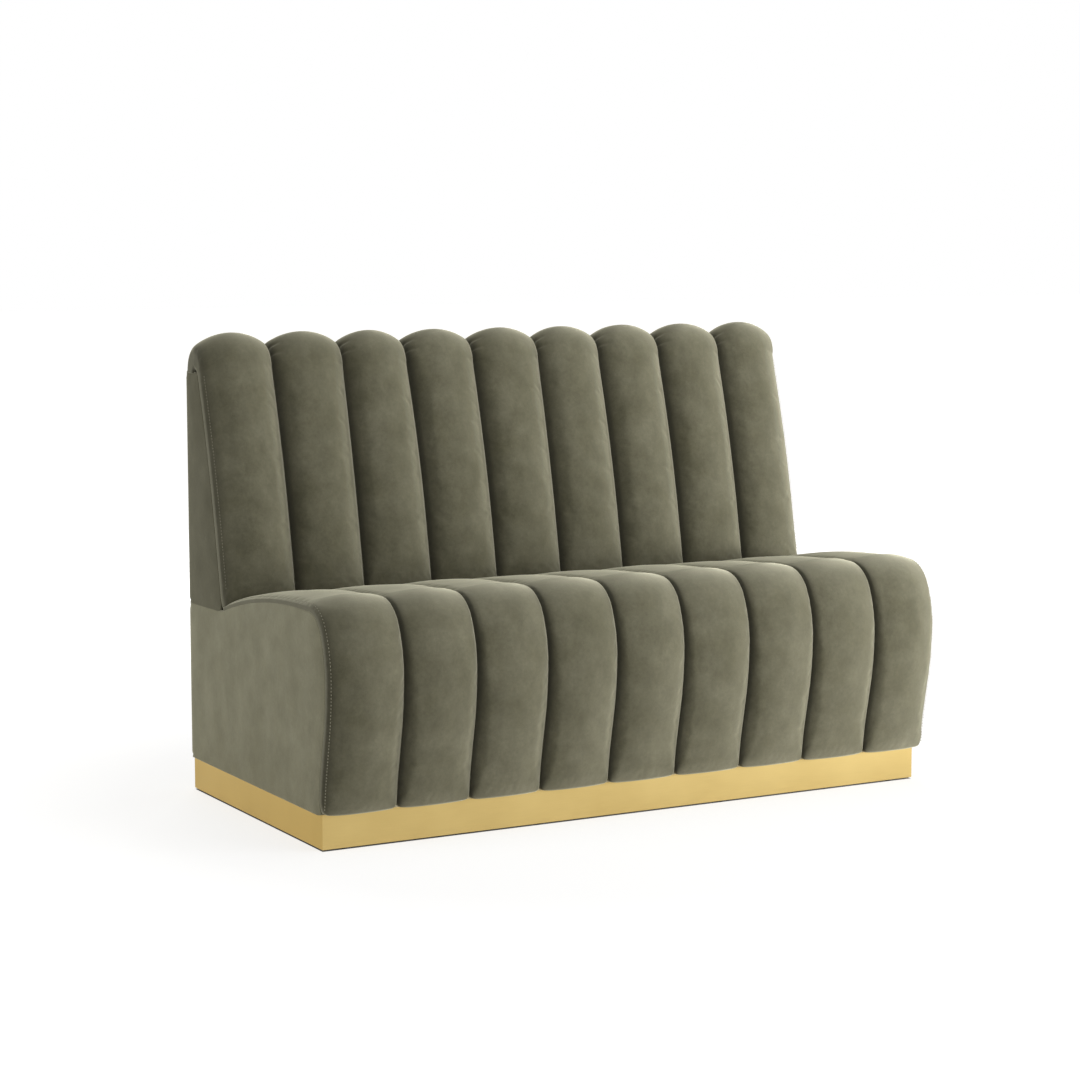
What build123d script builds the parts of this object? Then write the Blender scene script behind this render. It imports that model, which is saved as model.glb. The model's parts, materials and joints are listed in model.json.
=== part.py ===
from build123d import *
import math
import os

# A channel-tufted banquette: a metal-clad plinth, a seat unit with a waterfall front, and a raked back unit
# whose channels line up with the seat's and roll over the top edge.
# Millimetres. X runs along the bench, Y from front to rear, Z up. The origin is on the floor, under the
# middle of the bench's outline.

# Bench
channel_count = 9
channel_pitch = 152.4
overall_depth = 710.0
overall_height = 935.0
seam_gap = 0.6
lay_gap = 0.4
joint_gap = 0.2
overrun = 5.0

# Plinth
glide_height = 3.0
plinth_height = 66.5
plinth_side_set_in = 10.0
plinth_front_set_in = 14.1
cladding_thickness = 1.2
rail_thickness = 18.0
cross_rail_height = 60.0
fixing_block_length = 60.0
fixing_block_width = 45.0
fixing_block_height = 30.0
glide_radius = 8.5
glide_pin_radius = 1.5
glide_pin_length = 16.0
glide_end_inset = 50.0
glides_per_rail = 4

# Seat outline, along the seams
seat_seam_height = 452.4
seat_drop = 53.4
seat_end_clearance = 3.0
seat_crown = 32.0
shoulder_radius = 63.0
belly_radius = 210.0
shoulder_angle = 26.0
shin_angle = 11.0
shin_share = 0.41
toe_share = 0.34
seat_flat_share = 0.125

# Back outline, along the seams
deck_step = 10.0
back_crown = 48.0
top_crown = 65.0
top_depth = 62.65
top_seam_radius = 14.0
foot_angle = 11.0
top_angle = 17.5
foot_straight_share = 0.32
lumbar_share = 0.60
foot_press = 2.5

# Channels: where slices are taken along each line and arc of the seam, and how high the crown stands there
channel_flank = 8.0
seat_contact_share = 0.35
back_contact_share = 0.36
top_contact_share = 0.50
edge_share = 0.50
base_allowance = 3.0
seat_crown_shares = (
    ((0.0, 0.42), (0.12, 0.58), (0.29, 0.72), (0.58, 0.84)),
    ((0.0, 0.93), (0.73, 0.97)),
    ((0.32, 0.99), (0.80, 1.0)),
    ((0.31, 1.0), (0.66, 0.99)),
    ((0.0, 0.96), (0.23, 0.90), (0.46, 0.83), (0.68, 0.75), (0.86, 0.68)),
    ((0.0, 0.62), (0.46, 0.52)),
    ((0.0, 0.44), (0.18, 0.37), (0.41, 0.33), (0.70, 0.30), (1.0, 0.28)),
)
back_crown_shares = (
    (0.0, 0.82),
    (0.06, 0.92),
    (0.14, 0.98),
    (0.30, 1.0),
    (0.50, 1.0),
    (0.70, 1.0),
    (0.88, 1.0),
)
top_slice_count = 9

# Padding, boards and timber
side_pad_thickness = 20.0
rear_corner_radius = 18.0
foam_thickness = 30.0
skin_thickness = 6.0
rear_panel_thickness = 6.0
end_panel_thickness = 18.0
former_thickness = 15.0
former_count = 3
base_board_thickness = 9.0
deck_board_thickness = 18.0
front_rail_thickness = 25.0
front_rail_height = 60.0
front_rail_setback = 6.0
top_rail_height = 25.0
top_rail_depth = 45.0
middle_rail_height = 80.0
middle_rail_thickness = 22.0
bottom_rail_height = 25.0
bottom_rail_depth = 70.0
seat_hole_radius = 55.0
seat_hole_shares = (0.25, 0.52, 0.79)
back_hole_radius = 26.0
back_hole_shares = (0.20, 0.72)

# Screws and bolts
screw_radius = 2.0
screw_head_radius = 4.0
screw_head_height = 2.5
screw_length = 32.0
screw_clearance = 0.3
pilot_clearance = 0.05
bolt_radius = 4.0
bolt_head_flats = 13.0
bolt_head_height = 5.3
bolt_clearance = 0.5
bolt_tail = 4.0
washer_radius = 9.0
washer_thickness = 1.6
tee_nut_flange_radius = 10.0
tee_nut_flange_thickness = 1.5
tee_nut_barrel_radius = 5.0
tee_nut_barrel_length = 10.0
thread_clearance = 0.1

# Places worked out from the sizes above
front_y = -overall_depth / 2
rear_y = overall_depth / 2
half_width = channel_count * channel_pitch / 2
outer_x = half_width - seam_gap / 2
inner_x = outer_x - side_pad_thickness - lay_gap
plinth_top = glide_height + plinth_height
plinth_x = half_width - plinth_side_set_in
panel_y = rear_y - rear_panel_thickness
belly_y = front_y + seat_crown
foam_inset = channel_flank + lay_gap
skin_inset = foam_inset + foam_thickness
former_inset = skin_inset + skin_thickness
back_skin_inset = channel_flank + lay_gap
back_former_inset = back_skin_inset + skin_thickness
base_board_top = plinth_top + base_board_thickness
seat_end_height = seat_seam_height - seat_drop
deck_height = seat_end_height - deck_step
deck_underside = deck_height - deck_board_thickness
bay_count = former_count + 1
bay_width = 2 * (inner_x - end_panel_thickness / 2) / bay_count
former_xs = [(i + 1 - bay_count / 2) * bay_width for i in range(former_count)]
bay_xs = [(i + 0.5 - bay_count / 2) * bay_width for i in range(bay_count)]


def sine(degrees):
    return math.sin(math.radians(degrees))


def cosine(degrees):
    return math.cos(math.radians(degrees))


def tangent(degrees):
    return math.tan(math.radians(degrees))


# Back outline: the axis that the channels turn about at the top edge, and the curve down from it to the foot
axis_height = overall_height - top_crown - top_seam_radius
axis_y = rear_y - top_depth
rake_top = axis_height + top_seam_radius * sine(top_angle)
rake_height = rake_top - deck_height
foot_straight = foot_straight_share * rake_height / cosine(foot_angle)
lumbar_radius = lumbar_share * rake_height / (sine(top_angle) - sine(foot_angle))
top_straight = (1 - foot_straight_share - lumbar_share) * rake_height / cosine(top_angle)
rake_end_y = axis_y - top_seam_radius * cosine(top_angle)
back_foot_y = (
    rake_end_y
    - foot_straight * sine(foot_angle)
    - lumbar_radius * (cosine(foot_angle) - cosine(top_angle))
    - top_straight * sine(top_angle)
)
deck_front_y = back_foot_y + channel_flank
frame_top = axis_height - lay_gap

# Seat outline: radii and heights that follow from its angles
shoulder_drop = shoulder_radius * (1 - sine(shoulder_angle))
belly_height = seat_seam_height - belly_radius * sine(shoulder_angle) - shoulder_drop
shin_height = belly_height - plinth_top
shin_radius = shin_share * shin_height / sine(shin_angle)
toe_radius = toe_share * shin_height / sine(shin_angle)
shin_straight = (1 - shin_share - toe_share) * shin_height / cosine(shin_angle)
toe_y = belly_y + (shin_radius + toe_radius) * (1 - cosine(shin_angle)) + shin_straight * sine(shin_angle)
plinth_front_y = toe_y + plinth_front_set_in
belly_bulge = belly_radius * (1 - cosine(shoulder_angle))
shoulder_end_y = belly_y + belly_bulge + shoulder_radius * cosine(shoulder_angle)
seat_end_y = deck_front_y - seat_end_clearance
seat_run = seat_end_y - shoulder_end_y
seat_flat = seat_flat_share * seat_run
seat_slope = seat_run - seat_flat
seat_radius = (seat_slope**2 + seat_drop**2) / (2 * seat_drop)
seat_fall = math.degrees(math.asin(seat_slope / seat_radius))
seat_end_rise = seat_crown_shares[-1][-1][1] * seat_crown
foot_rise = back_crown_shares[0][1] * back_crown
back_lift = (
    seat_end_height
    - deck_height
    + seat_end_rise
    + foot_rise * (tangent(seat_fall) - tangent(foot_angle))
    + foot_press
)


# Lines and arcs that follow one another without a corner, in the bench's side view
def run(start, heading, steps):
    pieces = []
    point = Vector(*start)
    direction = Vector(*heading)
    for size, turn in steps:
        if turn == 0:
            piece = Line(point, point + direction * size)
        else:
            piece = JernArc(start=point, tangent=direction, radius=size, arc_size=turn)
        pieces.append(piece)
        point = piece @ 1
        direction = piece % 1
    return pieces


# Seat outline from the plinth up to the shoulder, moved inwards by an inset
def seat_front_run(inset):
    steps = (
        (toe_radius + inset, shin_angle),
        (shin_straight, 0),
        (shin_radius - inset, -shin_angle),
        (belly_radius - inset, -shoulder_angle),
        (shoulder_radius - inset, shoulder_angle - 90),
    )
    return run((toe_y + inset, plinth_top), (0, 1), steps)


# Seat outline from the shoulder back to the foot of the back unit
def seat_top_run(inset):
    steps = ((seat_flat, 0), (seat_radius - inset, -seat_fall))
    return run((shoulder_end_y, seat_seam_height - inset), (1, 0), steps)


# Back outline from the deck up the rake, moved inwards by an inset and ended level at a height
def back_run(inset, top):
    start = (back_foot_y + inset / cosine(foot_angle), deck_height)
    heading = (sine(foot_angle), cosine(foot_angle))
    steps = (
        (foot_straight + inset * tangent(foot_angle), 0),
        (lumbar_radius - inset, foot_angle - top_angle),
    )
    pieces = run(start, heading, steps)
    point = pieces[-1] @ 1
    direction = pieces[-1] % 1
    pieces.append(Line(point, point + direction * ((top - point.Y) / direction.Y)))
    return pieces


# A solid with a side-view outline, from one X to another
def across(pieces, left, right):
    face = Plane.YZ * make_face(pieces)
    return Pos(left, 0, 0) * extrude(face, amount=right - left, dir=(1, 0, 0))


# A layer that follows an outline between two insets
def layer(outline, outer_inset, inner_inset, left, right):
    outer = outline(outer_inset)
    inner = outline(inner_inset)
    ends = [Line(outer[0] @ 0, inner[0] @ 0), Line(outer[-1] @ 1, inner[-1] @ 1)]
    return across(outer + inner + ends, left, right)


def block(x_span, y_span, z_span):
    size = [span[1] - span[0] for span in (x_span, y_span, z_span)]
    return Pos(x_span[0], y_span[0], z_span[0]) * Box(*size, align=(Align.MIN, Align.MIN, Align.MIN))


def rod(x, y, bottom, top, radius):
    return Pos(x, y, bottom) * Cylinder(radius, top - bottom, align=(Align.CENTER, Align.CENTER, Align.MIN))


# Closes an open outline with straight lines through the given points
def closed(pieces, points):
    corners = [pieces[-1] @ 1] + [Vector(*point) for point in points] + [pieces[0] @ 0]
    return pieces + [Line(a, b) for a, b in zip(corners, corners[1:])]


# One slice across a channel: flat base, flanks that its neighbours press flat, a turn and a crown over them
def channel_slice(plane, rise, contact_share):
    half = channel_pitch / 2 - seam_gap / 2
    contact = contact_share * rise
    bulge = rise - contact
    edge = edge_share * bulge
    crown = ((half - edge) ** 2 + bulge**2 - edge**2) / (2 * (bulge - edge))
    angle = math.degrees(math.atan2(crown - bulge, half - edge))
    meet = (half - edge + edge * cosine(angle), contact + edge * sine(angle))
    middle = (half - edge + edge * cosine(angle / 2), contact + edge * sine(angle / 2))
    base = -channel_flank - base_allowance
    pieces = [
        Line((-half, base), (half, base)),
        Line((half, base), (half, contact)),
        ThreePointArc((half, contact), middle, meet),
        ThreePointArc(meet, (0, rise), (-meet[0], meet[1])),
        ThreePointArc((-meet[0], meet[1]), (-middle[0], middle[1]), (-half, contact)),
        Line((-half, contact), (-half, base)),
    ]
    return plane * make_face(pieces)


# The plane square to a seam at a share of its length, with its local Y pointing out of the upholstery
def slice_plane(seam, share):
    point = seam @ share
    direction = seam % share
    return Plane(origin=(0, point.X, point.Y), x_dir=(-1, 0, 0), z_dir=(0, direction.X, direction.Y))


# Joins the slices and cuts the underside to the bed that the channel lies on
def seated(slices, bed):
    return loft(slices, ruled=True) - across(bed, -channel_pitch, channel_pitch)


def seat_channel():
    slices = []
    for piece, crowns in zip(seat_front_run(0) + seat_top_run(0), seat_crown_shares):
        for share, crown in crowns:
            slices.append(channel_slice(slice_plane(piece, share), crown * seat_crown, seat_contact_share))
    bed = seat_front_run(channel_flank) + seat_top_run(channel_flank)
    end = bed[-1] @ 1
    return seated(slices, closed(bed, [(end.X, plinth_top)]))


# How far the crown stands from the top axis, on an ellipse from the rake over the top to the rear face
def top_reach(turn):
    angle = 90 - top_angle - turn
    high = overall_height - axis_height
    deep = rear_y - axis_y
    return 1 / math.hypot(cosine(angle) / high, sine(angle) / deep)


def back_channel():
    rake = Wire([piece.edge() for piece in back_run(0, rake_top)])
    first = back_lift / cosine(foot_angle) / rake.length
    slices = []
    for share, crown in back_crown_shares:
        plane = slice_plane(rake, first + share * (1 - first))
        slices.append(channel_slice(plane, crown * back_crown, back_contact_share))
    half_turn = 180
    over = half_turn - top_angle
    rounding = JernArc(start=rake @ 1, tangent=rake % 1, radius=top_seam_radius, arc_size=-over)
    for i in range(top_slice_count + 1):
        share = i / top_slice_count
        rise = top_reach(share * over) - top_seam_radius
        contact = back_contact_share + (top_contact_share - back_contact_share) * min(2 * share, 1)
        slices.append(channel_slice(slice_plane(rounding, share), rise, contact))
    bed_radius = top_seam_radius - channel_flank
    bed = back_run(channel_flank, axis_height + bed_radius * sine(top_angle))
    bed.append(JernArc(start=bed[-1] @ 1, tangent=bed[-1] % 1, radius=bed_radius, arc_size=-over))
    end = bed[-1] @ 1
    return seated(slices, closed(bed, [(end.X, deck_height)]))


def channel_xs():
    return [(i - (channel_count - 1) / 2) * channel_pitch for i in range(channel_count)]


# Plinth
def plinth_rails():
    x = plinth_x - cladding_thickness
    front = plinth_front_y + cladding_thickness
    rear = rear_y - cladding_thickness
    heights = (glide_height, plinth_top)
    between = (front + rail_thickness, rear - rail_thickness)
    rails = {
        "plinth_front_rail": block((-x, x), (front, between[0]), heights),
        "plinth_rear_rail": block((-x, x), (between[1], rear), heights),
        "plinth_left_rail": block((-x, rail_thickness - x), between, heights),
        "plinth_right_rail": block((x - rail_thickness, x), between, heights),
    }
    cross = []
    for centre in former_xs:
        span = (centre - rail_thickness / 2, centre + rail_thickness / 2)
        cross.append(block(span, between, (plinth_top - cross_rail_height, plinth_top)))
    rails["plinth_cross_rails"] = Compound(cross)
    return rails, between


# A cladding plate in plan, with both ends mitred
def cladding_plate(start, end, inwards):
    along = (Vector(*end) - Vector(*start)).normalized()
    slope = Vector(*inwards) * cladding_thickness
    corners = [
        Vector(*start),
        Vector(*end),
        Vector(*end) + slope - along * cladding_thickness,
        Vector(*start) + slope + along * cladding_thickness,
    ]
    face = make_face(Polyline(*corners, close=True))
    return Pos(0, 0, glide_height) * extrude(face, amount=plinth_height, dir=(0, 0, 1))


def cladding():
    x = plinth_x
    front = plinth_front_y
    return {
        "cladding_front": cladding_plate((-x, front), (x, front), (0, 1)),
        "cladding_right": cladding_plate((x, front), (x, rear_y), (-1, 0)),
        "cladding_rear": cladding_plate((x, rear_y), (-x, rear_y), (0, -1)),
        "cladding_left": cladding_plate((-x, rear_y), (-x, front), (1, 0)),
    }


# Low round glides under the long rails, each on a pin driven into the rail
def glide_places(between):
    reach = plinth_x - cladding_thickness - glide_end_inset
    step = 2 * reach / (glides_per_rail - 1)
    rows = (between[0] - rail_thickness / 2, between[1] + rail_thickness / 2)
    return [(i * step - reach, y) for i in range(glides_per_rail) for y in rows]


def glide(x, y):
    pin_top = glide_height + glide_pin_length
    return rod(x, y, 0, glide_height, glide_radius) + rod(x, y, glide_height, pin_top, glide_pin_radius)


def fixing_block_rows(between):
    half = fixing_block_width / 2
    return (between[0] + half, between[1] - half)


def fixing_places(between):
    return [(x, y) for x in bay_xs for y in fixing_block_rows(between)]


def screw(x, y):
    head = rod(x, y, base_board_top, base_board_top + screw_head_height, screw_head_radius)
    head = fillet(head.edges().group_by(Axis.Z)[-1], radius=screw_head_height / 2)
    shank = rod(x, y, base_board_top - screw_length, base_board_top, screw_radius)
    return head + chamfer(shank.edges().group_by(Axis.Z)[0], length=screw_radius / 2)


def plinth_parts():
    parts, between = plinth_rails()
    for name in ("plinth_front_rail", "plinth_rear_rail"):
        for x, y in glide_places(between):
            pin_hole = rod(x, y, glide_height, glide_height + glide_pin_length + pilot_clearance,
                           glide_pin_radius + pilot_clearance)
            parts[name] = parts[name] - pin_hole
    parts.update(cladding())
    parts["glides"] = Compound([glide(x, y) for x, y in glide_places(between)])
    blocks = []
    half = (fixing_block_length / 2, fixing_block_width / 2)
    for x, y in fixing_places(between):
        body = block((x - half[0], x + half[0]), (y - half[1], y + half[1]),
                     (plinth_top - fixing_block_height, plinth_top))
        pilot = rod(x, y, base_board_top - screw_length - pilot_clearance, plinth_top,
                    screw_radius + pilot_clearance)
        blocks.append(body - pilot)
    parts["plinth_fixing_blocks"] = Compound(blocks)
    parts["plinth_screws"] = Compound([screw(x, y) for x, y in fixing_places(between)])
    return parts, between


# Seat unit
def seat_former(left, right):
    outline = seat_front_run(former_inset) + seat_top_run(former_inset)
    end = outline[-1] @ 1
    corners = [(deck_front_y, end.Y), (deck_front_y, deck_underside), (panel_y, deck_underside),
               (panel_y, plinth_top)]
    former = across(closed(outline, corners), left, right)
    former = split(former, bisect_by=Plane.XY.offset(base_board_top), keep=Keep.TOP)
    hole_height = (base_board_top + deck_underside) / 2
    front = belly_y + former_inset
    for share in seat_hole_shares:
        centre = Pos(left, front + share * (panel_y - front), hole_height)
        former -= centre * Rot(0, 90, 0) * Cylinder(seat_hole_radius, 2 * (right - left) + overrun)
    return former


def front_rail_spans():
    rail_front = belly_y + former_inset + front_rail_setback
    half = front_rail_height / 2
    return (rail_front, rail_front + front_rail_thickness), (belly_height - half, belly_height + half)


def housed(former, y_span, z_span, opens):
    y_low, y_high = y_span
    z_low, z_high = z_span
    y_low -= joint_gap if opens != "front" else overrun + front_rail_setback
    y_high += joint_gap if opens != "rear" else overrun
    z_low -= joint_gap if opens != "bottom" else overrun
    z_high += joint_gap if opens != "top" else overrun
    return former - block((-outer_x, outer_x), (y_low, y_high), (z_low, z_high))


def former_spans():
    half = former_thickness / 2
    return [(x - half, x + half) for x in former_xs]


def end_spans():
    return {
        "left": (-inner_x, end_panel_thickness - inner_x),
        "right": (inner_x - end_panel_thickness, inner_x),
    }


def seat_frame(between):
    parts = {}
    y_span, z_span = front_rail_spans()
    rail_x = inner_x - end_panel_thickness
    for side, span in end_spans().items():
        parts["seat_end_panel_" + side] = seat_former(*span)
    for i, span in enumerate(former_spans()):
        parts[f"seat_former_{i + 1}"] = housed(seat_former(*span), y_span, z_span, "front")
    parts["seat_front_rail"] = block((-rail_x, rail_x), y_span, z_span)
    board = block((-inner_x, inner_x), (toe_y + former_inset, panel_y), (plinth_top, base_board_top))
    for x, y in fixing_places(between):
        board -= rod(x, y, plinth_top, base_board_top, screw_radius + screw_clearance)
    parts["seat_base_board"] = board
    parts["seat_front_skin"] = layer(seat_front_run, skin_inset, former_inset, -inner_x, inner_x)
    parts["seat_deck_skin"] = layer(seat_top_run, skin_inset, former_inset, -inner_x, inner_x)
    deck = block((-inner_x, inner_x), (deck_front_y, panel_y), (deck_underside, deck_height))
    for x in bay_xs:
        deck -= rod(x, bolt_y(), deck_underside, deck_height, bolt_radius + bolt_clearance)
        deck -= rod(x, bolt_y(), deck_underside, deck_underside + tee_nut_barrel_length + thread_clearance,
                    tee_nut_barrel_radius + thread_clearance)
    parts["seat_rear_deck"] = deck
    parts["seat_rear_panel"] = block((-inner_x, inner_x), (panel_y, rear_y), (plinth_top, deck_height))
    return parts


def seat_side_pad(side):
    outline = seat_front_run(foam_inset) + seat_top_run(foam_inset)
    corners = [(deck_front_y, deck_height), (rear_y, deck_height), (rear_y, plinth_top)]
    return padded_side(across(closed(outline, corners), outer_x - side_pad_thickness, outer_x), side)


# Rounds the rear upright corner of a right-hand side pad, and mirrors it for the left side
def padded_side(pad, side):
    upright = pad.edges().filter_by(Axis.Z).filter_by_position(Axis.Y, rear_y - lay_gap, rear_y + lay_gap)
    pad = fillet(upright.sort_by(Axis.X)[-1], radius=rear_corner_radius)
    return pad if side == "right" else mirror(pad, about=Plane.YZ)


def seat_padding():
    parts = {
        "seat_front_foam": layer(seat_front_run, foam_inset, skin_inset, -inner_x, inner_x),
        "seat_deck_foam": layer(seat_top_run, foam_inset, skin_inset, -inner_x, inner_x),
        "seat_side_pad_left": seat_side_pad("left"),
        "seat_side_pad_right": seat_side_pad("right"),
    }
    channel = seat_channel()
    for i, x in enumerate(channel_xs()):
        parts[f"seat_channel_{i + 1}"] = Pos(x, 0, 0) * channel
    return parts


# Back unit
def bolt_y():
    return (back_foot_y + back_former_inset + panel_y) / 2


def bottom_rail_spans():
    half = bottom_rail_depth / 2
    return (bolt_y() - half, bolt_y() + half), (deck_height, deck_height + bottom_rail_height)


def middle_rail_spans():
    middle = (deck_height + frame_top) / 2
    half = middle_rail_height / 2
    return (panel_y - middle_rail_thickness, panel_y), (middle - half, middle + half)


def top_rail_spans():
    return (panel_y - top_rail_depth, panel_y), (frame_top - top_rail_height, frame_top)


def back_former(left, right):
    outline = back_run(back_former_inset, frame_top)
    former = across(closed(outline, [(panel_y, frame_top), (panel_y, deck_height)]), left, right)
    middle = middle_rail_spans()[1]
    for share in back_hole_shares:
        height = deck_height + share * (frame_top - deck_height)
        depth = (back_foot_y + back_former_inset + (height - deck_height) * tangent(foot_angle) + panel_y) / 2
        centre = Pos(left, depth, height)
        former -= centre * Rot(0, 90, 0) * Cylinder(back_hole_radius, 2 * (right - left) + overrun)
    return former


def back_frame():
    parts = {}
    rail_x = inner_x - end_panel_thickness
    for side, span in end_spans().items():
        parts["back_end_frame_" + side] = back_former(*span)
    for i, span in enumerate(former_spans()):
        former = housed(back_former(*span), *bottom_rail_spans(), "bottom")
        former = housed(former, *middle_rail_spans(), "rear")
        parts[f"back_former_{i + 1}"] = housed(former, *top_rail_spans(), "top")
    parts["back_top_rail"] = block((-rail_x, rail_x), *top_rail_spans())
    parts["back_middle_rail"] = block((-rail_x, rail_x), *middle_rail_spans())
    bottom_rail = block((-rail_x, rail_x), *bottom_rail_spans())
    for x in bay_xs:
        bottom_rail -= rod(x, bolt_y(), deck_height, deck_height + bottom_rail_height,
                           bolt_radius + bolt_clearance)
    parts["back_bottom_rail"] = bottom_rail
    parts["back_front_skin"] = layer(lambda inset: back_run(inset, frame_top), back_skin_inset,
                                     back_former_inset, -inner_x, inner_x)
    parts["back_rear_panel"] = block((-inner_x, inner_x), (panel_y, rear_y), (deck_height, frame_top))
    parts["back_bolts"] = Compound([bolt(x) for x in bay_xs])
    parts["back_tee_nuts"] = Compound([tee_nut(x) for x in bay_xs])
    return parts


def bolt(x):
    rail_top = deck_height + bottom_rail_height
    head_bottom = rail_top + washer_thickness
    washer = rod(x, bolt_y(), rail_top, head_bottom, washer_radius)
    hexagon = RegularPolygon(radius=bolt_head_flats / 2, side_count=6, major_radius=False)
    head = Pos(x, bolt_y(), head_bottom) * extrude(hexagon, amount=bolt_head_height)
    tail = deck_underside - tee_nut_flange_thickness - bolt_tail
    return washer + head + rod(x, bolt_y(), tail, rail_top, bolt_radius)


def tee_nut(x):
    flange_bottom = deck_underside - tee_nut_flange_thickness
    flange = rod(x, bolt_y(), flange_bottom, deck_underside, tee_nut_flange_radius)
    barrel_top = deck_underside + tee_nut_barrel_length
    barrel = rod(x, bolt_y(), deck_underside, barrel_top, tee_nut_barrel_radius)
    return flange + barrel - rod(x, bolt_y(), flange_bottom, barrel_top, bolt_radius + thread_clearance)


def back_side_pad(side):
    outline = back_run(back_skin_inset, frame_top)
    corners = [(rear_y, frame_top), (rear_y, deck_height)]
    return padded_side(across(closed(outline, corners), outer_x - side_pad_thickness, outer_x), side)


def back_padding():
    parts = {
        "back_side_pad_left": back_side_pad("left"),
        "back_side_pad_right": back_side_pad("right"),
    }
    channel = back_channel()
    for i, x in enumerate(channel_xs()):
        parts[f"back_channel_{i + 1}"] = Pos(x, 0, 0) * channel
    return parts


def build():
    parts, between = plinth_parts()
    parts.update(seat_frame(between))
    parts.update(seat_padding())
    parts.update(back_frame())
    parts.update(back_padding())
    return parts


os.makedirs("parts", exist_ok=True)
for name, shape in build().items():
    export_step(shape, f"parts/{name}.step")
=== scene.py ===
# %% [markdown]
# # A channel-tufted banquette
#
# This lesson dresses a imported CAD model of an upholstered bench: nine padded rolls that run over a
# waterfall seat, nine more up a raked back and over its top, flat padded ends, and a plinth clad in
# satin brass. The CAD model has the sizes, and everything here is made to fit it.

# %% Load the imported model
import json
import math
import time
import bmesh
import bpy
from mathutils import Matrix, Vector, noise


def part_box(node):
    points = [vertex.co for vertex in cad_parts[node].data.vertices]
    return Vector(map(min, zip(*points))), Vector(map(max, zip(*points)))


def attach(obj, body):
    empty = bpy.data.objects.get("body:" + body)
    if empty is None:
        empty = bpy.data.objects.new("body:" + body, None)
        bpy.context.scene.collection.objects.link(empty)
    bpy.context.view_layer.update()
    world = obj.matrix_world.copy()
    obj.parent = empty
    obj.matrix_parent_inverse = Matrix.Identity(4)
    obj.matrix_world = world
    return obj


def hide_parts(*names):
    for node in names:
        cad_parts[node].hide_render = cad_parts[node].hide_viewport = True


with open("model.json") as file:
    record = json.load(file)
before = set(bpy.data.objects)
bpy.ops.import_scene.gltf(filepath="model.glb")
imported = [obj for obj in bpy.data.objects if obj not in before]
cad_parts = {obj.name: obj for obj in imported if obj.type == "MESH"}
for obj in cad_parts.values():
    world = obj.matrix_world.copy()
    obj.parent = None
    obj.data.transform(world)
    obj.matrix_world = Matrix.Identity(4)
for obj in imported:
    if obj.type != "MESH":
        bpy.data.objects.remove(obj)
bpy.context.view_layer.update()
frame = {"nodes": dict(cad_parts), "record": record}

clock = time.time()
scene = bpy.context.scene

# %% [markdown]
# ## The bench's sizes
#
# All lengths are in metres, in the CAD model's own frame: X along the bench, Y from the front to the
# rear, Z up. The rolls follow two seams, seen from the side: one up the front of the seat and back over
# its top, one up the rake of the back and over its upper edge. Both are lines and arcs that meet
# without a corner, so a few radii and leans give them, as the upholsterer's templates do.

# %% Sizes
roll_count = 9
pitch = 0.1524
half_width = roll_count * pitch / 2
front_y, rear_y = -0.355, 0.355
bench_height = 0.935
front_low, front_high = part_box("cladding_front")
plinth_front, plinth_bottom = front_low.y, front_low.z
plinth_x, plinth_top = front_high.x, front_high.z
cladding_thickness = 0.0012
deck_height = 0.389
pad_thickness = 0.020
foam_thickness = 0.030
seam_gap = 0.0006
print("plinth: half width", round(plinth_x, 4), "front", round(plinth_front, 4), "top", round(plinth_top, 4))

# %% [markdown]
# ## Lines and arcs in the side view
#
# A seam is kept as a list of steps. Each step goes some way along, and may turn with a radius on the
# way. `seam_at` answers the two questions that the rolls ask at any place: where is the seam, and which
# way does it run. The outward direction is square to that.

# %% Seams as lines and arcs
def seam_of(start, heading, steps):
    pieces, place, angle = [], Vector(start), heading
    for size, turn in steps:
        length = size if turn == 0 else size * abs(math.radians(turn))
        pieces.append((place.copy(), angle, size, turn, length))
        place, angle = step_along(pieces[-1], length)
    return pieces


def step_along(piece, distance):
    place, angle, size, turn, length = piece
    ahead = Vector((math.cos(angle), math.sin(angle)))
    if turn == 0:
        return place + ahead * distance, angle
    side = 1 if turn > 0 else -1
    left = Vector((-ahead.y, ahead.x)) * side
    bend = distance / size
    return place + ahead * size * math.sin(bend) + left * size * (1 - math.cos(bend)), angle + side * bend


def seam_length(pieces):
    return sum(piece[4] for piece in pieces)


def seam_at(pieces, distance):
    for piece in pieces:
        if distance <= piece[4] or piece is pieces[-1]:
            return step_along(piece, distance)
        distance -= piece[4]


def sine(degrees):
    return math.sin(math.radians(degrees))


def cosine(degrees):
    return math.cos(math.radians(degrees))


def tangent(degrees):
    return math.tan(math.radians(degrees))


print("a quarter turn of radius 1:", round(seam_length(seam_of((0, 0), 0, [(1.0, 90)])), 4))

# %% [markdown]
# ## The seat's seam
#
# The seat's seam starts on the plinth, leans out to the belly of the waterfall, turns over the shoulder
# and falls gently to the foot of the back. The shin between plinth and belly is an arc, a straight and
# an arc, and three shares say how much of its height each takes.

# %% Seam of the seat
seat_top_height = 0.4524
seat_rise = 0.032
seat_end_y = 0.1710
belly_y = front_y + seat_rise
belly_radius, shoulder_radius, shoulder_lean = 0.210, 0.063, 26.0
shin_lean, seat_fall = 11.0, 16.7
toe_share, straight_share, shin_share = 0.34, 0.25, 0.41
flat_share = 0.125

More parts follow.
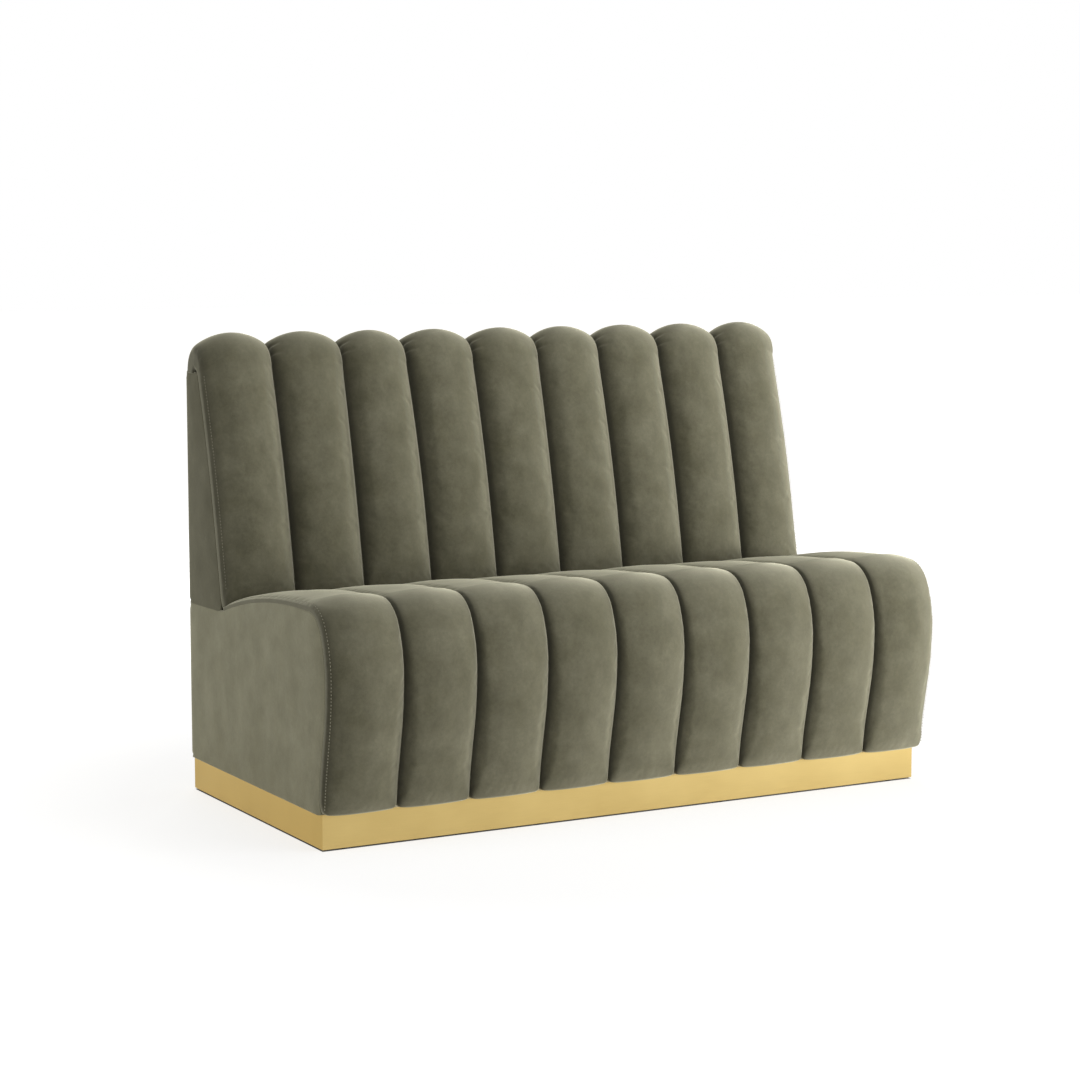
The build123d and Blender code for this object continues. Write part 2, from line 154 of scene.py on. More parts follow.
belly_height = (seat_top_height - belly_radius * sine(shoulder_lean)
                - shoulder_radius * (1 - sine(shoulder_lean)))
shin_height = belly_height - plinth_top
shin_radius = shin_share * shin_height / sine(shin_lean)
toe_radius = toe_share * shin_height / sine(shin_lean)
shin_straight = straight_share * shin_height / cosine(shin_lean)
toe_y = (belly_y + (shin_radius + toe_radius) * (1 - cosine(shin_lean))
         + shin_straight * sine(shin_lean))
shoulder_end_y = (belly_y + belly_radius * (1 - cosine(shoulder_lean))
                  + shoulder_radius * cosine(shoulder_lean))
seat_flat = flat_share * (seat_end_y - shoulder_end_y)
seat_radius = (1 - flat_share) * (seat_end_y - shoulder_end_y) / sine(seat_fall)


def seat_steps(inset):
    return ((toe_radius + inset, shin_lean), (shin_straight, 0), (shin_radius - inset, -shin_lean),
            (belly_radius - inset, -shoulder_lean), (shoulder_radius - inset, shoulder_lean - 90),
            (seat_flat, 0), (seat_radius - inset, -seat_fall))


def seat_seam(inset=0.0):
    return seam_of((toe_y + inset, plinth_top), math.pi / 2, seat_steps(inset))


seat_run = seat_seam()
seat_length = seam_length(seat_run)
print("the seat's seam:", len(seat_run), "steps,", round(seat_length, 4), "m")

# %% [markdown]
# ## The back's seam
#
# The back's seam leans back by 11 degrees at its foot and 17.5 degrees near the top, with a wide hollow
# arc between them. Just below the top edge it starts to turn, first on a wide arc for a few degrees and
# then about the edge itself, and it ends down the rear. Without the turn it is the rake alone, which
# the flat pads follow.

# %% Seam of the back
top_crown = 0.065
top_seam_radius = 0.014
foot_lean, top_lean = 11.0, 17.5
axis_height = bench_height - top_crown - top_seam_radius
rake_height = axis_height + top_seam_radius * sine(top_lean) - deck_height
seat_reach = 0.489
back_foot_y = belly_y + seat_reach
foot_share, lumbar_share, top_share = 0.32, 0.60, 0.08
foot_straight = foot_share * rake_height / cosine(foot_lean)
lumbar_radius = lumbar_share * rake_height / (sine(top_lean) - sine(foot_lean))
top_straight = top_share * rake_height / cosine(top_lean)
lead, lead_radius, lead_turn = 0.0075, 0.110, 6
tail = 0.003


def back_seam(inset=0.0, over=180 - top_lean):
    start = (back_foot_y + inset / cosine(foot_lean), deck_height)
    steps = [(foot_straight + inset * tangent(foot_lean), 0),
             (lumbar_radius - inset, foot_lean - top_lean), (top_straight - lead, 0)]
    if over:
        steps += [(lead_radius - inset, -lead_turn), (top_seam_radius - inset, lead_turn - over), (tail, 0)]
    else:
        steps.append((lead, 0))
    return seam_of(start, math.radians(90 - foot_lean), steps)


back_run, rake_run = back_seam(), back_seam(over=0)
back_length, rake_length = seam_length(back_run), seam_length(rake_run)
axis_y = seam_at(rake_run, rake_length)[0].x + top_seam_radius * cosine(top_lean)
print("the back's seam:", len(back_run), "steps,", round(back_length, 4), "m, its rake", round(rake_length, 4))

# %% [markdown]
# ## Camera
#
# The camera was solved from the corners of the plinth and the level top edge of the back in the
# photograph. It stands to the left, a little higher than the back, with a fairly long lens.

# %% Camera
lens = bpy.data.cameras.new("front_left_camera")
lens.lens = 88.0
lens.sensor_width = 36.0
camera = bpy.data.objects.new("front_left_camera", lens)
camera.location = (-2.6494, -4.6545, 1.1503)
camera.rotation_euler = (math.radians(83.22), 0, math.radians(-29.08))
scene.collection.objects.link(camera)
scene.camera = camera
print("camera at", tuple(round(value, 3) for value in camera.location))

# %% [markdown]
# ## Studio light
#
# The photograph has a white background and soft light from all round, with more from above and from
# the right. A pale world gives the light from all round, and large panels give the rest. One of them
# lights the rear, for the views from behind. The background's white comes from the world's colour as
# the camera sees it, not from more light.

# %% Node helpers
def math_node(tree, operation, *values):
    node = tree.nodes.new("ShaderNodeMath")
    node.operation = operation
    for socket, value in zip(node.inputs, values):
        if isinstance(value, bpy.types.NodeSocket):
            tree.links.new(value, socket)
        else:
            socket.default_value = value
    return node.outputs[0]


def seen_directly(tree):
    path = tree.nodes.new("ShaderNodeLightPath")
    seen = math_node(tree, "MAXIMUM", path.outputs["Is Camera Ray"], path.outputs["Is Glossy Ray"])
    return math_node(tree, "MAXIMUM", seen, path.outputs["Is Transmission Ray"])


def show(tree, kind, unseen, seen):
    choice = tree.nodes.new("ShaderNodeMixShader")
    for socket, value in zip(choice.inputs, (seen_directly(tree), unseen, seen)):
        tree.links.new(value, socket)
    tree.links.new(choice.outputs[0], tree.nodes.new(kind).inputs["Surface"])


# %% World
scene.view_settings.view_transform = "Standard"
world = bpy.data.worlds.new("studio")
scene.world = world
world.use_nodes = True
tree = world.node_tree
tree.nodes.clear()


def background(tree, colour, strength):
    node = tree.nodes.new("ShaderNodeBackground")
    node.inputs["Color"].default_value = (*colour, 1)
    node.inputs["Strength"].default_value = strength
    return node.outputs[0]


room, white = background(tree, (1.0, 0.995, 0.98), 0.24), background(tree, (1, 1, 1), 1.0)
show(tree, "ShaderNodeOutputWorld", room, white)
print("world:", world.name, "with", len(tree.nodes), "nodes")


# %% Light panels
def light_panel(name, place, target, size, power, colour=(1, 0.99, 0.96)):
    lamp = bpy.data.lights.new(name, "AREA")
    lamp.shape = "RECTANGLE"
    lamp.size, lamp.size_y = size
    lamp.energy = power
    lamp.color = colour
    panel = bpy.data.objects.new(name, lamp)
    panel.location = place
    panel.rotation_euler = (Vector(target) - Vector(place)).to_track_quat("-Z", "Y").to_euler()
    scene.collection.objects.link(panel)


light_panel("overhead_panel", (0.6, -0.8, 3.4), (0.1, 0, 0.4), (3.6, 2.6), 46)
light_panel("right_panel", (3.3, -2.3, 0.5), (0, 0, 0.45), (1.3, 0.7), 118)
light_panel("front_panel", (2.2, -3.3, 0.9), (0, 0.1, 0.65), (2.0, 1.0), 58)
light_panel("left_panel", (-4.0, 0.3, 0.9), (-0.7, 0, 0.35), (1.6, 1.4), 38, (1, 0.995, 0.97))
light_panel("rear_panel", (0.8, 4.4, 1.6), (0, 0.3, 0.5), (3.0, 1.6), 120)

# %% [markdown]
# ## Floor
#
# The floor is a wide pale plane. The camera sees most of it as plain white, and a share of real
# diffuse reflection keeps the bench's soft shadow. Farther off the white is full, so that no horizon
# shows. Under the plinth the white is left out, so that the gap below the metal stays dark.

# %% Floor plane
floor_bm = bmesh.new()
bmesh.ops.create_grid(floor_bm, x_segments=1, y_segments=1, size=30)
floor_mesh = bpy.data.meshes.new("studio_floor")
floor_bm.to_mesh(floor_mesh)
floor_bm.free()
floor = bpy.data.objects.new("studio_floor", floor_mesh)
scene.collection.objects.link(floor)

paper = bpy.data.materials.new("studio_paper")
paper.use_nodes = True
tree = paper.node_tree
tree.nodes.clear()
floor_mesh.materials.append(paper)
print("floor:", floor.name)


# %% How bright the paper is
def inside_span(tree, value, low, high):
    off = math_node(tree, "SUBTRACT", value, (low + high) / 2)
    return math_node(tree, "LESS_THAN", math_node(tree, "ABSOLUTE", off), (high - low) / 2)


where = tree.nodes.new("ShaderNodeTexCoord")
split = tree.nodes.new("ShaderNodeSeparateXYZ")
tree.links.new(where.outputs["Object"], split.inputs[0])
across = inside_span(tree, split.outputs["X"], -plinth_x, plinth_x)
along = inside_span(tree, split.outputs["Y"], plinth_front, rear_y)
open_floor = math_node(tree, "SUBTRACT", 1.0, math_node(tree, "MULTIPLY", across, along))

reach = tree.nodes.new("ShaderNodeVectorMath")
reach.operation = "LENGTH"
tree.links.new(where.outputs["Object"], reach.inputs[0])
far = tree.nodes.new("ShaderNodeMapRange")
for socket, value in (("From Min", 0.9), ("From Max", 2.2), ("To Min", 0.78), ("To Max", 1.0)):
    far.inputs[socket].default_value = value
tree.links.new(reach.outputs["Value"], far.inputs["Value"])
brightness = math_node(tree, "MULTIPLY", open_floor, far.outputs[0])


# %% Paper
def diffuse(tree, colour):
    node = tree.nodes.new("ShaderNodeBsdfDiffuse")
    node.inputs["Color"].default_value = (*colour, 1)
    return node.outputs[0]


glow = tree.nodes.new("ShaderNodeEmission")
glow.inputs["Color"].default_value = (1, 0.99, 0.97, 1)
tree.links.new(brightness, glow.inputs["Strength"])
both = tree.nodes.new("ShaderNodeAddShader")
tree.links.new(diffuse(tree, (0.29, 0.30, 0.32)), both.inputs[0])
tree.links.new(glow.outputs[0], both.inputs[1])
show(tree, "ShaderNodeOutputMaterial", diffuse(tree, (0.80, 0.79, 0.77)), both.outputs[0])
print("paper:", len(tree.nodes), "nodes")

# %% [markdown]
# ## Materials
#
# A small helper starts each material with a Principled shader, and another adds a noise texture on
# Object coordinates. Object coordinates are in metres here, because every piece keeps its place in its
# mesh, so a scale of 100 means grains of about a centimetre.

# %% Material helpers
def new_material(name, **values):
    material = bpy.data.materials.new(name)
    material.use_nodes = True
    shader = material.node_tree.nodes["Principled BSDF"]
    for socket, value in values.items():
        shader.inputs[socket.replace("_", " ")].default_value = value
    return material, material.node_tree, shader


def spot_noise(tree, scale, detail=3.0, roughness=0.5, stretch=(1, 1, 1)):
    where = tree.nodes.new("ShaderNodeTexCoord")
    mapping = tree.nodes.new("ShaderNodeMapping")
    mapping.inputs["Scale"].default_value = stretch
    texture = tree.nodes.new("ShaderNodeTexNoise")
    texture.inputs["Scale"].default_value = scale
    texture.inputs["Detail"].default_value = detail
    texture.inputs["Roughness"].default_value = roughness
    tree.links.new(where.outputs["Object"], mapping.inputs["Vector"])
    tree.links.new(mapping.outputs[0], texture.inputs["Vector"])
    return texture.outputs["Fac"]


def ramp(tree, value, stops):
    colours = tree.nodes.new("ShaderNodeValToRGB")
    elements = colours.color_ramp.elements
    while len(elements) < len(stops):
        elements.new(0.5)
    for element, (position, colour) in zip(elements, stops):
        element.position = position
        element.color = (*colour, 1)
    tree.links.new(value, colours.inputs[0])
    return colours.outputs[0]


def multiply(tree, colour, *others):
    for other in others:
        mix = tree.nodes.new("ShaderNodeMix")
        mix.data_type = "RGBA"
        mix.blend_type = "MULTIPLY"
        mix.inputs[0].default_value = 1.0
        tree.links.new(colour, mix.inputs[6])
        tree.links.new(other, mix.inputs[7])
        colour = mix.outputs[2]
    return colour


def bump(tree, shader, heights):
    normal = None
    for height, strength, distance in heights:
        node = tree.nodes.new("ShaderNodeBump")
        node.inputs["Strength"].default_value = strength
        node.inputs["Distance"].default_value = distance
        tree.links.new(height, node.inputs["Height"])
        if normal:
            tree.links.new(normal, node.inputs["Normal"])
        normal = node.outputs[0]
    tree.links.new(normal, shader.inputs["Normal"])


def grey(value):
    return (value,) * 3


# %% [markdown]
# ## Velvet
#
# The cover is an olive grey cotton velvet. Its pile lies a little differently from place to place, so
# it is mottled in soft patches of a few centimetres, with a fine grain. The sheen lobe brightens it
# where it turns away from the eye, which draws the bright line along each roll's edge. The wedges at
# the back's ends take a darker copy of the cloth with less sheen, painted shade, and the seat's ends a
# paler copy, painted light. Deep in the grooves, and less on the end rolls' free flanks, the colour is
# darkened as painted shade, by an attribute of the mesh.
#
# `depth` scales the dyed colour, and `sheen` the light that the tips of the pile throw back.

# %% Velvet
def velvet_cloth(name, depth, sheen):
    material, tree, shader = new_material(
        name, Roughness=0.9, Sheen_Weight=sheen, Sheen_Roughness=0.55,
        Sheen_Tint=(0.86, 0.84, 0.66, 1), Specular_IOR_Level=0.05)
    patches = spot_noise(tree, 14, 3, 0.55)
    brushed = spot_noise(tree, 30, 4, 0.6, (1.2, 1.0, 0.8))
    flecks = spot_noise(tree, 150, 5, 0.8)
    pile = spot_noise(tree, 900, 2, 0.6)
    dark = [depth * value for value in (0.072, 0.068, 0.040)]
    pale = [depth * value for value in (0.112, 0.107, 0.072)]
    base = ramp(tree, patches, ((0.30, dark), (0.72, pale)))
    swept = ramp(tree, brushed, ((0.30, (0.81, 0.81, 0.80)), (0.72, (1.14, 1.14, 1.15))))
    grain = ramp(tree, flecks, ((0.34, (0.86, 0.86, 0.85)), (0.66, grey(1.12))))
    # Painted shade: the colour darkens near the seams by the mesh's attribute, down to 0.22 in the grooves.
    groove_shade_attribute = tree.nodes.new("ShaderNodeAttribute")
    groove_shade_attribute.attribute_name = "painted_groove_shade"
    painted_shade_tone = ramp(tree, groove_shade_attribute.outputs["Fac"],
                 ((0.0, grey(1.0)), (0.55, (0.62, 0.61, 0.60)), (1.0, grey(0.22))))
    tree.links.new(multiply(tree, base, swept, grain, painted_shade_tone), shader.inputs["Base Color"])
    bump(tree, shader, ((patches, 0.20, 0.004), (brushed, 0.12, 0.0012),
                        (flecks, 0.15, 0.0008), (pile, 0.25, 0.0003)))
    return material


velvet = velvet_cloth("olive_velvet", 1.0, 1.0)
# The wedges' darker copy with less sheen is painted shade, the seat ends' paler copy painted light.
shaded_wedge_velvet = velvet_cloth("olive_velvet_painted_shade", 0.78, 0.58)
lit_end_velvet = velvet_cloth("olive_velvet_painted_light", 1.6, 1.0)
print("velvets:", velvet.name, shaded_wedge_velvet.name, lit_end_velvet.name)

# %% [markdown]
# ## Satin brass
#
# The cladding is thin brass-coloured sheet with a fine horizontal brushing: the texture is stretched
# along the plinth, and it moves both the roughness and a very small bump. A little uneven tone keeps
# it from looking like flat paint. The plates of the two ends take a darker copy of it, painted shade.

# %% Brass
def brushed_brass(name, dull, bright):
    material, tree, shader = new_material(name, Metallic=1.0, Roughness=0.32, Anisotropic=0.35)
    cloudy = spot_noise(tree, 5, 3, 0.5)
    lines = spot_noise(tree, 60, 4, 0.7, (0.35, 0.35, 30))
    tone = ramp(tree, cloudy, ((0.30, dull), (0.72, bright)))
    fine = ramp(tree, lines, ((0.25, (0.95, 0.95, 0.94)), (0.75, grey(1.03))))
    tree.links.new(multiply(tree, tone, fine), shader.inputs["Base Color"])
    satin = ramp(tree, lines, ((0.2, grey(0.27)), (0.8, grey(0.38))))
    tree.links.new(satin, shader.inputs["Roughness"])
    bump(tree, shader, ((lines, 0.04, 0.0002),))
    return material


brass = brushed_brass("satin_brass", (0.495, 0.362, 0.138), (0.565, 0.425, 0.172))
# The end plates' darker copy is painted shade.
shaded_end_brass = brushed_brass("satin_brass_painted_shade", (0.455, 0.300, 0.060), (0.520, 0.350, 0.080))
print("metals:", brass.name, shaded_end_brass.name)

# %% [markdown]
# ## Timber, foam, nylon and steel
#
# These are inside or below, and show only from underneath or with the cover off. Birch plywood has a
# long pale grain on its faces. Upholstery foam is full of small cells. The glides are black nylon, and
# the screws, bolts and tee nuts are zinc plated.

# %% Timber
def timber(name, pale, dark, stretch):
    material, tree, shader = new_material(name, Roughness=0.62, Specular_IOR_Level=0.3)
    grain = spot_noise(tree, 16, 6, 0.62, stretch)
    pores = spot_noise(tree, 160, 2, 0.5, stretch)
    tone = ramp(tree, grain, ((0.30, dark), (0.66, pale)))
    specks = ramp(tree, pores, ((0.30, (0.84, 0.83, 0.81)), (0.60, grey(1.0))))
    tree.links.new(multiply(tree, tone, specks), shader.inputs["Base Color"])
    bump(tree, shader, ((grain, 0.15, 0.0006), (pores, 0.2, 0.0003)))
    return material


birch = timber("birch_plywood", (0.66, 0.50, 0.32), (0.52, 0.37, 0.21), (0.12, 1, 1))
beech = timber("planed_beech", (0.60, 0.42, 0.25), (0.46, 0.30, 0.16), (0.10, 1, 1))
print("timbers:", birch.name, beech.name)


# %% Foam, thread, nylon and zinc
def speckled(name, noise_values, low, high, relief, polish=None, **values):
    material, tree, shader = new_material(name, **values)
    specks = spot_noise(tree, *noise_values)
    tree.links.new(ramp(tree, specks, (low, high)), shader.inputs["Base Color"])
    if polish:
        tree.links.new(ramp(tree, specks, polish), shader.inputs["Roughness"])
    bump(tree, shader, ((specks, *relief),))
    return material


foam = speckled("cut_foam", (420, 2, 0.7), (0.30, (0.66, 0.59, 0.40)), (0.62, (0.83, 0.77, 0.58)),
                (0.5, 0.0008), Roughness=0.95, Specular_IOR_Level=0.1)
thread = speckled("sewing_thread", (1400, 2), (0.3, (0.20, 0.185, 0.12)), (0.7, (0.30, 0.285, 0.20)),
                  (0.3, 0.0002), Roughness=0.7, Sheen_Weight=0.4)
nylon = speckled("black_nylon", (500, 2), (0.3, grey(0.018)), (0.7, grey(0.034)), (0.15, 0.0001), Roughness=0.5)
zinc = speckled("zinc_plate", (260, 3), (0.3, (0.50, 0.51, 0.52)), (0.7, (0.68, 0.68, 0.66)), (0.1, 0.0001),
                ((0.3, grey(0.26)), (0.7, grey(0.42))), Metallic=1.0, Roughness=0.34)
print("small parts:", foam.name, thread.name, nylon.name, zinc.name)

# %% [markdown]
# ## Finishes for the CAD nodes that stay
#
# The inner frame's shapes are right as they are, so each of those nodes only gets its material.

# %% Finish the CAD nodes
finishes = {"plywood": birch, "hardwood": beech, "nylon": nylon, "zinc_steel": zinc,
            "velvet": velvet, "foam": foam, "brass_cladding": brass}
node_slots = {part["node"]: part["material_slot"] for part in frame["record"]["subparts"]}
for node, piece in frame["nodes"].items():
    piece.data.materials.clear()
    piece.data.materials.append(finishes[node_slots[node]])
print("finished nodes:", len(frame["nodes"]))

# %% [markdown]
# ## Putting a piece in the scene
#
# Every new piece goes through one helper: its mesh gets outward normals and smooth faces, it rides on
# the bench's only body, it takes its finish, and the CAD nodes that it stands for are hidden.

# %% Piece helper
def add_piece(name, bm, material, stands_for=(), smooth=True, sewn=False):
    bmesh.ops.recalc_face_normals(bm, faces=bm.faces)
    for face in bm.faces:
        face.smooth = smooth
    mesh = bpy.data.meshes.new(name)
    bm.to_mesh(mesh)
    bm.free()
    piece = bpy.data.objects.new(name, mesh)
    scene.collection.objects.link(piece)
    mesh.materials.append(material)
    if sewn:
        piece.vertex_groups.new(name="sewn")
    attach(piece, "root")
    if stands_for:
        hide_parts(*stands_for)
    return piece


# %% [markdown]
# ## The rolls
#
# A roll is foam under a cover that is sewn down along both seams. Cut across, it has a flank at each
# seam that its neighbour presses flat, a turn, and a crown between. At the bench's two ends nothing
# presses on the roll, so there it rounds straight up from its seam. How high the crown stands changes
# along the roll: low at the plinth, full over the belly and shoulder, and shallow on the seat's top,
# where people sit. A ring of points with that section is extruded slice by slice along the seam, which
# keeps the rows of faces running with the seam, as the cloth's threads do.

# %% Section of a roll
flank = 0.008
edge_share = 0.50
half = (pitch - seam_gap) / 2
contact_steps, turn_steps, crown_steps, base_steps = 3, 5, 15, 8
side_rows = contact_steps + turn_steps + crown_steps
ring_count = 2 * side_rows + base_steps


def half_section(rise, contact_share):
    contact = contact_share * rise
    bulge = rise - contact
    edge = edge_share * bulge
    crown = ((half - edge) ** 2 + bulge ** 2 - edge ** 2) / (2 * (bulge - edge))
    meet = math.atan2(crown - bulge, half - edge)
    points = [(half, -flank + (flank + contact) * i / contact_steps) for i in range(contact_steps)]
    for i in range(turn_steps):
        angle = meet * i / turn_steps
        points.append((half - edge + edge * math.cos(angle), contact + edge * math.sin(angle)))
    for i in range(crown_steps + 1):
        angle = (math.pi / 2 - meet) * (1 - i / crown_steps)
        points.append((crown * math.sin(angle), rise - crown + crown * math.cos(angle)))
    return points


def roll_section(rise, contacts):
    left = [(-x, up) for x, up in half_section(rise, contacts[0])]
    right = half_section(rise, contacts[1])
    base = [(-half + 2 * half * i / base_steps, -flank) for i in range(1, base_steps)]
    return right + left[-2::-1] + base


print("points round a roll:", ring_count)

# %% [markdown]
# The crown's height is a share of its full rise, read off a short table of places along the seam. Where
# the back turns over its top edge the roll's outline is an ellipse about the edge instead, which reaches
# the bench's full height above and its full depth behind. The last stretch of the rake leads into it.

# %% Crown heights along the seams
seat_crown = ((0, .42), (.012, .58), (.03, .72), (.06, .84), (.102, .93), (.16, .97), (.22, .99),
              (.28, 1), (.34, 1), (.38, .99), (.418, .96), (.437, .90), (.456, .83), (.475, .75),
              (.49, .68), (.505, .62), (.53, .52), (.563, .44), (.64, .37), (.74, .33), (.87, .30),
              (1, .28))
back_crown = ((0, .82), (.06, .92), (.14, .98), (.30, 1), (1, 1))
back_rise = 0.048


def crown_share(table, share):
    for (low, first), (high, second) in zip(table, table[1:]):
        if share <= high:
            part = (share - low) / (high - low)
            return first + (second - first) * part
    return table[-1][1]


def seat_crown_at(distance):
    return seat_rise * crown_share(seat_crown, distance / seat_length)


foot_gap = 0.0025
foot_rise = back_crown[0][1] * back_rise
back_lift = (seam_at(seat_run, seat_length)[0].y - deck_height + seat_crown[-1][1] * seat_rise
             + foot_gap + foot_rise * (tangent(seat_fall) - tangent(foot_lean)))
back_start = back_lift / cosine(foot_lean)


def turn_crown(heading):
    high, deep = bench_height - axis_height, rear_y - axis_y
    return 1 / math.hypot(math.cos(heading) / high, math.sin(heading) / deep) - top_seam_radius


turn_begin = rake_length - lead
step_up = turn_crown(math.radians(90 - top_lean)) - back_rise
step_length = 0.16


def back_crown_at(distance):
    if distance > turn_begin:
        return turn_crown(seam_at(back_run, distance)[1])
    near = max(0.0, 1 - (turn_begin - distance) / step_length)
    share = crown_share(back_crown, (distance - back_start) / (turn_begin - back_start))
    return back_rise * share + step_up * near ** 2 * (3 - 2 * near)


print("crown at the belly", round(seat_crown_at(0.25), 4), "at the top", round(back_crown_at(0.55), 4))

# %% [markdown]
# ## Growing a roll ring by ring
#
# Extruding the edges of one ring gives the next. The new points are found along the new edges, so that
# row after row keeps its order. Slices stand closer where the crown's outside goes round a bend. The
# points along the seams and in the end slices are sewn down, and an attribute holds the painted shade
# near the seams: full where a neighbour presses, less on a free flank.

# %% Roll builder
def next_ring(bm, ring, edges):
    geom = bmesh.ops.extrude_edge_only(bm, edges=edges)["geom"]
    fresh = {item for item in geom if isinstance(item, bmesh.types.BMVert)}
    edges = [item for item in geom
             if isinstance(item, bmesh.types.BMEdge) and fresh.issuperset(item.verts)]
    ring = [next(e.other_vert(v) for e in v.link_edges if e.other_vert(v) in fresh) for v in ring]
    return ring, edges


def roll_distances(run, start, spacing, rise_at, glance=0.002):
    places, distance, end = [start], start, seam_length(run)
    while distance < end - 1e-6:
        heading = seam_at(run, distance)[1]
        turned = seam_at(run, min(distance + glance, end))[1]
        bend = abs(turned - heading) / glance
        distance = min(distance + spacing / (1 + rise_at(distance) * bend), end)
        places.append(distance)
    return places


sewn_rows = {row for row in range(ring_count)
             if row <= contact_steps + 1 or row >= 2 * side_rows - contact_steps - 1}
# Painted shade near the seams: the contact share from which a side counts as pressed, the share on a free
# flank, and the width over which it fades towards the crown.
pressed_from, free_flank_shade, shade_band = 0.3, 0.75, 0.017


def roll(middle, run, start, rise_at, contacts_at, shape, spacing):
    bm = bmesh.new()
    bmesh.ops.create_circle(bm, segments=ring_count, radius=half)
    sewn = bm.verts.layers.deform.verify()
    groove_shade_attribute = bm.verts.layers.float.new("painted_groove_shade")
    ring, edges = list(bm.verts), list(bm.edges)
    distances = roll_distances(run, start, spacing, rise_at)
    for step, distance in enumerate(distances):
        if step:
            ring, edges = next_ring(bm, ring, edges)
        place, heading = seam_at(run, distance)
        ahead = Vector((math.cos(heading), math.sin(heading)))
        outwards = Vector((-ahead.y, ahead.x))
        held = step < 2 or step > len(distances) - 3
        contacts = contacts_at(distance)
        for row, (vert, (x, up)) in enumerate(zip(ring, roll_section(rise_at(distance), contacts))):
            x, up, shift = shape(x, up, distance)
            at = place + outwards * up + ahead * shift
            vert.co = (middle + x, at.x, at.y)
            vert[sewn][0] = 1.0 if held or row in sewn_rows else 0.0
            # Painted shade, full at a pressed seam, less at a free one, fading towards the crown.
            shade_here = 1.0 if contacts[0 if x < 0 else 1] > pressed_from else free_flank_shade
            vert[groove_shade_attribute] = shade_here * max(0.0, 1 - (half - abs(x)) / shade_band)
    bmesh.ops.holes_fill(bm, edges=[edge for edge in bm.edges if edge.is_boundary], sides=ring_count)
    return bm


print("rows sewn down:", len(sewn_rows))

# %% [markdown]
# ## How the neighbours press
#
# The share of the crown's height that is pressed flat grows where a roll turns over the top edge of the
# back, because the same foam is squeezed into a shorter way round. The two end rolls keep a small share
# on their free side.

# %% Contact shares
seat_free, back_free, pressed_share = 0.04, 0.08, 0.31
more_free, more_pressed = 0.36, 0.19


def clamp(value):
    return max(0.0, min(1.0, value))


def both_sides(number, free, groove_shade_attribute):
    return free if number == 1 else groove_shade_attribute, free if number == roll_count else groove_shade_attribute


def seat_contacts(number):
    return lambda distance: both_sides(number, seat_free, pressed_share)


def back_contacts(number):
    def contacts(distance):
        over = clamp(2 * (distance - rake_length) / (back_length - rake_length))
        return both_sides(number, back_free + more_free * over, pressed_share + more_pressed * over)
    return contacts


print("back roll 1 is pressed at its foot by", back_contacts(1)(back_start))

# %% [markdown]
# ## How the cover gives
#
# No two rolls are quite alike. Their crowns differ by a millimetre, and at the top of the back the
# seams wander a few millimetres to one side. At the plinth the cover is folded in, so the rolls' lower
# corners are round and a small dark notch is left between them. Where a seam goes over the top edge the
# cover has too much cloth for the shorter way, and it lies in two small pleats beside the seam. On the
# free side of an end roll the cover sinks at the seat's rear, is pulled down at the back's foot and
# hangs over a little past the top edge.
#
# Each shape takes a point of the section, x across and up, and gives it back moved, with a shift along
# the seam. `side` is -1 and 1 at the two seams, and a fold is a share of a rounding with its radius.

# %% Unevenness and folds
uneven_broad, uneven_small, uneven_from = 0.0016, 0.0006, 0.006


def round_off(distance, radius):
    if distance >= radius:
        return 0.0
    return radius - math.sqrt(max(0.0, radius ** 2 - (radius - distance) ** 2))


def uneven(number, x, up, distance):
    broad = noise.noise(Vector((number * 3.7, distance * 4, x * 6)))
    small = noise.noise(Vector((number * 5.3, distance * 17, x * 15)))
    wave = uneven_broad * broad + uneven_small * small
    return wave * (1 - (x / half) ** 4) * min(1, up / uneven_from)


def free_side(number):
    return -1 if number == 1 else 1 if number == roll_count else 0


# %% Shape of the seat's rolls
heel_length, heel_drop = 0.06, 0.8
free_fold, sewn_fold = (0.36, 0.032), (0.6, 0.014)


def seat_shape(number):
    free = free_side(number)

    def shape(x, up, distance):
        side = x / half
        if up > 0:
            up += uneven(number, x, up, distance)
            if side * free > 0:
                low = max(0.0, 1 - (seat_length - distance) / heel_length)
                up *= 1 - heel_drop * low ** 2 * side ** 2
        depth, radius = free_fold if side * free > 0 else sewn_fold
        return x - side * abs(side) ** 3 * depth * round_off(distance, radius), up, 0.0
    return shape


# %% Shape of the back's rolls
seam_sway = (0, 0, 0.0045, -0.0030, 0, 0.0040, 0, -0.0010, 0.0010, 0)
sway_from = 0.15
pleats = ((0.007, 0.0026), (0.0125, 0.0032))
pleat_slant, pleat_width, pleat_edge, pleat_fade = 0.004, 0.0009, 0.62, 0.25
hang_length, overhang = 0.02, 0.0025
foot_length, foot_pull = 0.07, 0.022
foot_fold, foot_round = 0.35, 0.022


def free_flank(x, side, distance):
    over = clamp((distance - rake_length) / hang_length)
    low = max(0.0, 1 - (distance - back_start) / foot_length)
    fold = foot_fold * round_off(distance - back_start, foot_round)
    x += math.copysign(overhang, side) * over * abs(side) ** 2 - side * abs(side) ** 3 * fold
    return x, -foot_pull * low * abs(side) ** 3


def back_shape(number):
    free = free_side(number)

    def shape(x, up, distance):
        side, shift = x / half, 0.0
        if up > 0:
            up += uneven(number + 20, x, up, distance)
            beside = clamp((-side - pleat_edge) / pleat_fade) if number > 1 else 0.0
            for place, depth in pleats:
                off = (distance - rake_length - place + pleat_slant * side) / pleat_width
                up -= depth * beside * math.exp(-off * off)
        high = clamp((distance - sway_from) / (rake_length - sway_from))
        share = (side + 1) / 2
        x += (seam_sway[number - 1] * (1 - share) + seam_sway[number] * share) * high ** 2
        if side * free > 0:
            x, shift = free_flank(x, side, distance)
        return x, up, shift
    return shape


# %% [markdown]
# ## The eighteen rolls
#
# Each roll stands for the CAD channel of its number. The seat's rolls are packed a little softer than
# the back's.

